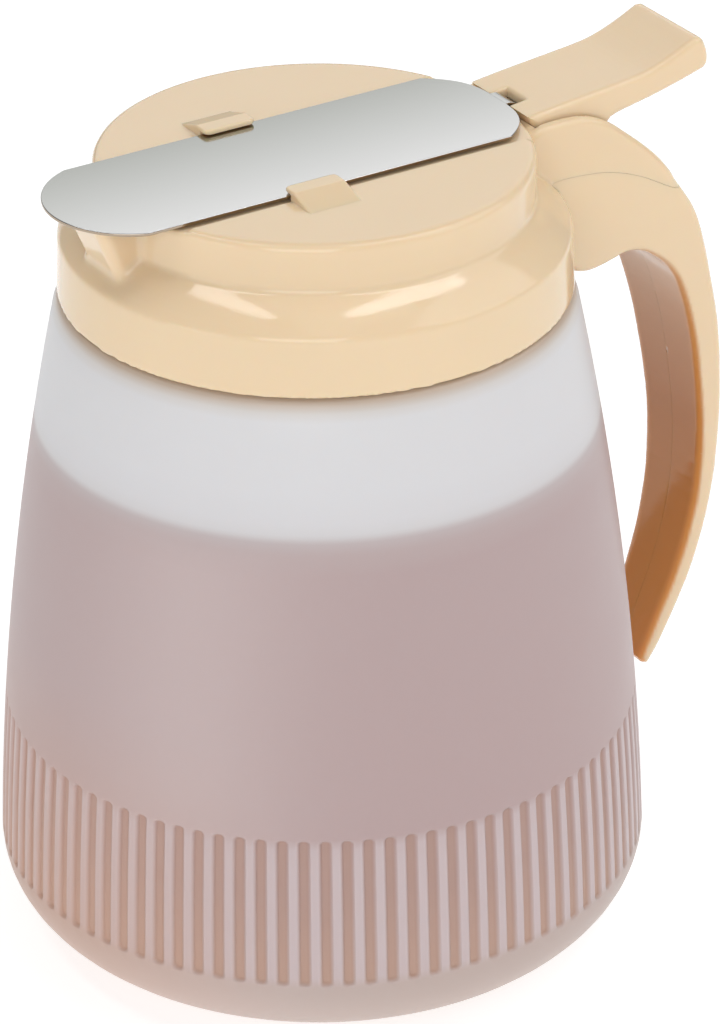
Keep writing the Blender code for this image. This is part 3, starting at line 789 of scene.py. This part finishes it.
def lid_field(x, y, z):
    """The whole lid: round body, beak, gate track, guides, housing and ears, then what is cut out."""
    r = np.hypot(x, y)
    solid = smooth_join(outline_distance(r, z, LID_PROFILE), beak(x, y, z), 2.0)
    track = rounded_meet(np.abs(y) - TRACK_HALF_WIDTH, np.abs(x + 2.0) - 48.4, 0.3)
    solid = smooth_cut(solid, np.maximum(TRACK_FLOOR - z, track), 0.4)
    solid = smooth_join(solid, guide_post(x, y, z), 0.8)
    housing = np.maximum(grip_body(x, y, z), above_joint(x, z) + SEAM)
    solid = smooth_join(solid, np.maximum(housing, 41.0 - x), 0.9)
    ears = np.maximum(outline_distance(x, z, HINGE_TAB), np.abs(np.abs(y) - 9.1) - 1.5)
    solid = np.minimum(solid, ears)
    solid = np.maximum(solid, -outline_distance(r, z, HOLLOW))
    slot = np.maximum(outline_distance(x, z, LEVER_SLOT), np.abs(y) - (HALF_WIDTH - CHEEK))
    solid = smooth_cut(solid, slot, 0.5)
    channel = np.maximum(outline_distance(x, z, CHANNEL), np.abs(y) - SPOUT_HALF_WIDTH)
    solid = smooth_cut(solid, channel, 0.5)
    return np.maximum(solid, -pin_bore(x, z))


def make_lid(material):
    """Lid moulding with beak, gate track, guide blocks, lever housing and hinge ears."""
    low, high = (-58.0, -SKIRT_RADIUS, 145.2), (83.0, SKIRT_RADIUS, 179.5)
    lid = skin("lid_moulding", lid_field, low, high, 0.75)
    return finish_piece(lid, "lid", "cream_plastic", material, "lid")


def guide_field(x, y, z):
    """Hook on the disc, with a lip over the gate's edge; y runs outwards."""
    block = round_corners([(15.4, 177.6, 0.1), (15.4, 178.6, 0.6), (19.4, 178.6, 1.4), (26.0, 176.45, 0.2),
                           (26.0, 176.0, 0.0), (17.9, 176.0, 0.0), (17.9, 177.6, 0.05)])
    plan = round_corners([(-16.5, 15.4, 1.4), (-4.5, 15.4, 1.4), (-4.5, 30.0, 0.0), (-16.5, 30.0, 0.0)])
    return rounded_meet(outline_distance(y, z, block), outline_distance(x, y, plan), 0.45)


def make_guides(material):
    """The two hooks that hold the gate down, in a finer mesh than the lid's."""
    for side, name in ((-1, "gate_guide_left"), (1, "gate_guide_right")):
        near, far = sorted((side * 15.3, side * 26.2))
        guide = skin(name, lambda x, y, z: guide_field(x, side * y, z),
                     (-16.6, near, 175.9), (-4.4, far, 178.8), 0.3)
        finish_piece(guide, "lid", "cream_plastic", material)


# ---------------------------------------------------------------- handle

def handle_field(x, y, z, side):
    """One half of the handle, hollow at its root and cut to the lid's and the jar's shape."""
    solid = np.maximum(grip_body(x, y, z), -above_joint(x, z) + SEAM)
    solid = np.maximum(solid, SEAM - side * y)
    pocket = np.maximum(np.abs(x - 58.25) - 13.25, np.abs(z - 154.1) - 9.9)
    pocket = np.maximum(pocket, np.abs(side * y - 5.1) - 6.1)
    solid = np.maximum(solid, -pocket)
    r = np.hypot(x, y)
    to_lid = outline_distance(r, z, LID_CLEARANCE)
    to_jar = r - wall_radius(np.minimum(z, SHOULDER_Z)) - 0.35
    keep_out = np.where(z > SHOULDER_Z, to_lid, np.minimum(to_lid, to_jar))
    return np.maximum(solid, -keep_out)


def paint_inner_shade(item):
    """Attributes of the handle's inner face: painted shade where it faces the jar, turning amber towards
    its tip, and a painted glow of light along its edges.
    """
    painted_inner_shade = item.data.attributes.new("painted_inner_shade", "FLOAT", "POINT")
    glow = item.data.attributes.new("painted_edge_glow", "FLOAT", "POINT")
    painted_shade_amber = item.data.attributes.new("painted_shade_amber", "FLOAT", "POINT")
    for i, vertex in enumerate(item.data.vertices):
        x, y, z = vertex.co / MM
        if z > 142.0:
            continue
        # Painted shade on faces that turn towards the jar, weaker up the handle and amber towards the tip
        flat = (vertex.normal.x ** 2 + vertex.normal.z ** 2) ** 0.5
        inward = -(vertex.normal.x * 0.95 + vertex.normal.z * 0.25) / max(flat, 0.2)
        facing = np.clip((inward - 0.45) / 0.3, 0.0, 1.0) * np.clip((flat - 0.3) / 0.4, 0.0, 1.0)
        # Painted glow of light through the edges of the inner face
        edge = 1.0 - min(abs(abs(y) - handle_half_width(z) + 1.0) / 1.5, 1.0)
        inner_shade_here = np.interp(z, [33.0, 95.0, 120.0, 138.0], [0.97, 0.97, 0.80, 0.48])
        glow_here = np.interp(z, [33.0, 120.0, 138.0], [0.75, 0.45, 0.075])
        painted_inner_shade.data[i].value = float(inner_shade_here * facing)
        painted_shade_amber.data[i].value = float(np.interp(z, [38.0, 92.0], [1.0, 0.0]))
        glow.data[i].value = float(glow_here * edge * facing)


def make_handle(material):
    """Left and right half of the handle, parted at y = 0."""
    for side, half in ((-1, "left"), (1, "right")):
        low = (47.0, min(0.0, side * HALF_WIDTH), 32.0)
        high = (97.0, max(0.0, side * HALF_WIDTH), 163.0)
        handle = skin(f"handle_{half}_moulding", lambda x, y, z: handle_field(x, y, z, side),
                      low, high, 0.7)
        paint_inner_shade(handle)
        finish_piece(handle, "lid", "cream_plastic", material, f"handle_half_{half}")


# ---------------------------------------------------------------- lever

LEVER_TOP = [(45.0, 176.9), (52.5, 177.8), (62.5, 178.8), (72.6, 179.9), (77.8, 181.2), (82.6, 183.1),
             (86.6, 185.0)]
LEVER_REAR = [(87.8, 184.9), (88.9, 183.8), (89.85, 181.2), (89.9, 179.0), (89.0, 177.7)]
LEVER_UNDERSIDE = [(83.0, 176.0), (75.4, 174.2), (67.2, 172.6), (65.0, 171.4), (64.3, 169.0), (64.1, 166.6),
                   (60.0, 166.0), (52.0, 167.6), (48.4, 170.4), (46.7, 173.4)]


def lever_web():
    """Side view of the web that carries the blade down to its round hub."""
    arc = [radians(a) for a in range(-180, 1, 12)]
    hub = [(PIVOT[0] + HUB_RADIUS * cos(a), PIVOT[1] + HUB_RADIUS * sin(a)) for a in arc]
    return [(51.5, 169.5), (54.6, 160.0)] + hub + [(64.2, 160.0), (63.9, 170.0)]


BLADE_OUTLINE = smooth_curve(LEVER_TOP, 4) + smooth_curve(LEVER_REAR, 3) + smooth_curve(LEVER_UNDERSIDE, 2)
WEB_OUTLINE = lever_web()


def lever_field(x, y, z):
    """Blade and web, with a notch for the gate's tongue and a pocket for its tab."""
    blade = rounded_meet(outline_distance(x, z, BLADE_OUTLINE), np.abs(y) - LEVER_HALF_WIDTH, 1.25)
    web = rounded_meet(outline_distance(x, z, WEB_OUTLINE), np.abs(y) - HUB_HALF_WIDTH, 0.4)
    solid = smooth_join(blade, web, 1.2)
    notch = np.maximum(np.abs(y) - NOTCH_HALF_WIDTH, x - 49.2)
    notch = np.maximum(notch, 169.0 - z)
    solid = smooth_cut(solid, notch, 0.8)
    pocket = np.maximum(np.abs(x - 49.5) - 2.3, np.abs(y) - 6.4)
    pocket = np.maximum(pocket, np.abs(z - 171.9) - 3.3)
    solid = np.maximum(solid, -pocket)
    return np.maximum(solid, -pin_bore(x, z))


def make_lever(material):
    """Thumb lever with its web and hub."""
    low, high = node_box("thumb_lever")
    lever = skin("lever_moulding", lever_field, low, high + Vector((0.0, 0.0, 1.0)), 0.5)
    return finish_piece(lever, "lever", "cream_plastic", material, "thumb_lever")


# ---------------------------------------------------------------- steel and rubber pieces

def gate_plan():
    """Plan of the gate: round nose over the beak, straight sides, bowed rear edge."""
    centre = GATE_TIP + GATE_NOSE
    limit = asin(GATE_HALF_WIDTH / GATE_NOSE)
    nose = []
    for i in range(24, -25, -1):
        angle = limit * i / 24
        nose.append((centre - GATE_NOSE * cos(angle), GATE_NOSE * sin(angle)))
    rear = []
    for i in range(-16, 17):
        share = sin(0.5 * pi * i / 16)
        rear.append((GATE_REAR + GATE_REAR_BOW * (1.0 - abs(share) ** 3.2), GATE_HALF_WIDTH * share))
    return nose + rear


def loft(name, rings):
    """Closed solid through rings of (x, y, z) points."""
    builder = bmesh.new()
    rows = [[builder.verts.new(Vector(p) * MM) for p in ring] for ring in rings]
    for lower, upper in zip(rows, rows[1:]):
        bridge(builder, lower, upper)
    builder.faces.new(rows[0])
    builder.faces.new(rows[-1])
    bmesh.ops.remove_doubles(builder, verts=builder.verts, dist=1e-7)
    bmesh.ops.recalc_face_normals(builder, faces=builder.faces)
    mesh = bpy.data.meshes.new(name)
    builder.to_mesh(mesh)
    builder.free()
    mesh.shade_smooth()
    mesh.set_sharp_from_angle(angle=radians(LOFT_SMOOTH))
    return link(name, mesh)


def soften(item, width):
    """Small bevel on the sharp edges."""
    modifier = item.modifiers.new("Worn edges", "BEVEL")
    modifier.width = width * MM
    modifier.segments = 2
    modifier.limit_method = "ANGLE"
    modifier.angle_limit = radians(40.0)
    return item


def make_gate(material):
    """Gate sheet and the tongue that ties it to the lever."""
    bottom = GATE_TOP - GATE_THICKNESS
    plate = loft("gate_plate", [[(x, y, z) for x, y in gate_plan()] for z in (bottom, GATE_TOP)])
    soften(plate, 0.14)
    finish_piece(plate, "gate", "gate_steel", material, "slide_gate")
    return finish_piece(make_tongue(), "gate", "gate_steel", material)


def make_tongue():
    """Strip that leaves the gate's rear edge and bends down into a wider tab inside the lever."""
    thick, narrow, wide = 0.33, 3.0, 5.5
    stations = [(42.0, 176.92, narrow, 0.0), (45.8, 176.92, narrow, 0.0), (46.8, 176.5, narrow, 40.0),
                (47.6, 175.6, narrow, 55.0), (48.25, 174.7, narrow, 75.0), (48.35, 174.2, narrow, 90.0),
                (48.35, 174.0, wide, 90.0), (48.35, 172.2, wide, 90.0)]
    rings = []
    for x, z, half, turn in stations:
        dx = thick * sin(radians(turn))
        dz = thick * cos(radians(turn))
        rings.append([(x + dx, -half, z + dz), (x + dx, half, z + dz),
                      (x - dx, half, z - dz), (x - dx, -half, z - dz)])
    return soften(loft("gate_tongue", rings), 0.1)


def make_pin(material):
    """Pin with small chamfers, across the housing."""
    low, high, chamfer = PIN_LOW.y, PIN_HIGH.y, 0.3
    stations = [(low, PIN_RADIUS - chamfer), (low + chamfer, PIN_RADIUS),
                (high - chamfer, PIN_RADIUS), (high, PIN_RADIUS - chamfer)]
    angles = [2 * pi * i / 32 for i in range(32)]
    rings = [[(PIVOT[0] + radius * cos(a), y, PIVOT[1] + radius * sin(a)) for a in angles]
             for y, radius in stations]
    return finish_piece(loft("pivot_pin", rings), "lid", "pin_steel", material, "lever_pin")


def make_spring(material):
    """Torsion spring beside the hub: a short leg, the coil and a leg that hooks behind the web."""
    coil_radius, pitch, turns, first_y = 3.0, 0.95, 2.25, 4.7
    points = [(54.1, first_y, 149.6), (55.8, first_y, 148.8), (57.6, first_y, 148.2)]
    steps = int(turns * 24)
    for i in range(steps + 1):
        angle = 2 * pi * (i * turns / steps - 0.25)
        points.append((PIVOT[0] + coil_radius * cos(angle), first_y + pitch * i * turns / steps,
                       PIVOT[1] + coil_radius * sin(angle)))
    last_y = points[-1][1]
    points += [(63.5, last_y, 153.5), (64.6, last_y, 157.5), (64.95, last_y - 0.2, 160.2),
               (64.95, last_y - 1.2, 161.0), (64.95, 3.4, 161.2), (64.95, -2.4, 161.2)]
    curve = bpy.data.curves.new("torsion_spring", "CURVE")
    curve.dimensions = "3D"
    curve.bevel_depth = 0.4 * MM
    curve.bevel_resolution = 3
    curve.use_fill_caps = True
    spline = curve.splines.new("POLY")
    spline.points.add(len(points) - 1)
    for knot, point in zip(spline.points, points):
        knot.co = (*(Vector(point) * MM), 1.0)
    return finish_piece(link("torsion_spring", curve), "lever", "pin_steel", material, "lever_spring")


def make_seal(material):
    """Flat ring between the jar's rim and the lid."""
    low, high = node_box("seal_ring")
    inner, outer, corner = 44.6, high.x, 0.35
    profile = round_corners([(inner, low.z, corner), (outer, low.z, corner),
                             (outer, high.z, corner), (inner, high.z, corner)], 3)
    seal = turned("seal_gasket", [(r, z, 128) for r, z in profile])
    return finish_piece(seal, "seal", "seal_rubber", material, "seal_ring")


# ---------------------------------------------------------------- studio

def add_floor():
    """Plain white floor, partly lit by itself so that it stays white in the object's shade."""
    builder = bmesh.new()
    bmesh.ops.create_grid(builder, x_segments=1, y_segments=1, size=4.0)
    mesh = bpy.data.meshes.new("floor")
    builder.to_mesh(mesh)
    builder.free()
    floor = link("floor", mesh)
    floor.location.z = -0.0002
    material, _, shader = new_material("studio_floor")
    shader.inputs["Base Color"].default_value = (FLOOR_GREY, FLOOR_GREY, FLOOR_GREY, 1.0)
    shader.inputs["Roughness"].default_value = 0.9
    shader.inputs["Specular IOR Level"].default_value = 0.0
    shader.inputs["Emission Color"].default_value = (1.0, 1.0, 1.0, 1.0)
    shader.inputs["Emission Strength"].default_value = FLOOR_GLOW
    mesh.materials.append(material)


def add_world():
    """Even white surroundings."""
    world = bpy.data.worlds.new("studio")
    bpy.context.scene.world = world
    world.use_nodes = True
    background = world.node_tree.nodes["Background"]
    background.inputs["Color"].default_value = (1.0, 1.0, 1.0, 1.0)
    background.inputs["Strength"].default_value = WORLD_GLOW


def direction(azimuth, elevation):
    """Unit vector away from the object; azimuth 0 is -Y and grows towards +X."""
    turn, rise = radians(azimuth), radians(elevation)
    return Vector((sin(turn) * cos(rise), -cos(turn) * cos(rise), sin(rise)))


def add_softbox(name, azimuth, elevation, distance, size, power, roll):
    """Area light that faces the object; a rolled one is an oval strip."""
    light = bpy.data.lights.new(name, "AREA")
    light.shape = "ELLIPSE" if roll else "RECTANGLE"
    light.size, light.size_y = size
    light.energy = power
    lamp = link(name, light)
    away = direction(azimuth, elevation)
    lamp.location = Vector(LIT_CENTRE) + away * distance
    lamp.rotation_euler = away.to_track_quat("Z", "Y").to_euler()
    lamp.rotation_euler.rotate_axis("Z", radians(roll))


def add_camera():
    """Long lens that looks down at the beak's side, slightly rolled."""
    away = direction(VIEW_AZIMUTH, VIEW_ELEVATION)
    location = Vector((0.0, 0.0, SHOULDER_Z * MM)) + away * VIEW_DISTANCE
    data = bpy.data.cameras.new("camera")
    data.sensor_fit = "VERTICAL"
    data.sensor_height = VIEW_SENSOR
    data.lens = VIEW_LENS
    data.clip_start = 0.05
    camera = link("camera", data)
    camera.location = location
    roll = Quaternion((0.0, 0.0, 1.0), radians(VIEW_ROLL))
    gaze = (Vector(VIEW_AIM) - location).to_track_quat("-Z", "Y")
    camera.rotation_euler = (gaze @ roll).to_euler()
    bpy.context.scene.camera = camera


def main():
    """Camera, the server's pieces, and the studio around them."""
    add_camera()
    cream = cream_material()
    jar = jar_material()
    gate_steel = steel_material("polished_steel", 0.10, 0.15, GATE_HALF_WIDTH)
    wire_steel = steel_material("wire_steel", 0.22, 0.30)
    make_jar_wall(jar)
    make_jar_neck(jar)
    make_seal(rubber_material())
    make_lid(cream)
    make_guides(cream)
    make_handle(cream)
    make_lever(cream)
    make_gate(gate_steel)
    make_pin(wire_steel)
    make_spring(wire_steel)
    add_floor()
    add_world()
    for softbox in SOFTBOXES:
        add_softbox(*softbox)
    bpy.context.scene.view_settings.view_transform = "Standard"


main()
